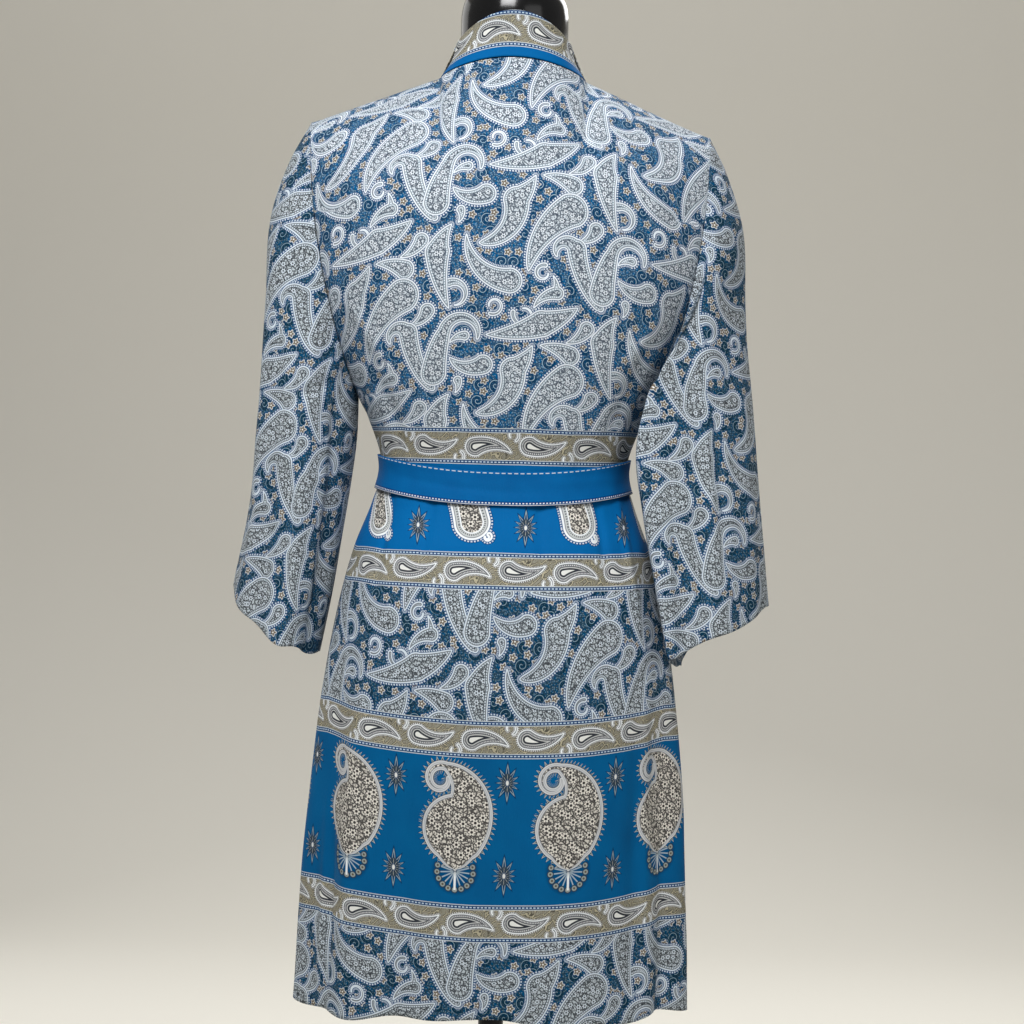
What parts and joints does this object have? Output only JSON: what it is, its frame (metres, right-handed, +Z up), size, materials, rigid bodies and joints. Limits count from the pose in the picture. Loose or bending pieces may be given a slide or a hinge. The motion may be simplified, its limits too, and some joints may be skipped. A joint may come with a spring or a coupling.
{
  "type": "kimono robe on dress form",
  "caption": "Short wrapped kimono robe with wide three-quarter sleeves, standing collar and tied sash, worn by a limbless dress form on a pole stand.",
  "frame": {"origin": "centre of the stand base's underside, on the floor", "axes": "+Z up; the robe's front faces -Y; the wearer's left is +X"},
  "size_m": [0.534, 0.356, 1.527],
  "materials": {
    "print": "thin printed crepe",
    "border": "thin printed crepe, border print",
    "blue": "plain dyed crepe",
    "form": "gloss black",
    "steel": "satin black"
  },
  "bodies": {
    "root": {"back_bodice": "print", "front_bodice_left": "print", "front_bodice_right": "print", "back_skirt": "print", "front_skirt_left": "print", "front_skirt_right": "print", "sleeve_left": "print", "sleeve_right": "print", "collar": "border", "front_band_left": "border", "front_band_right": "border", "sash_loop": "blue", "sash_knot": "blue", "sash_end_left": "blue", "sash_end_right": "blue", "form_torso": "form", "stand_pole": "steel", "stand_base": "steel"}
  },
  "joints": []
}
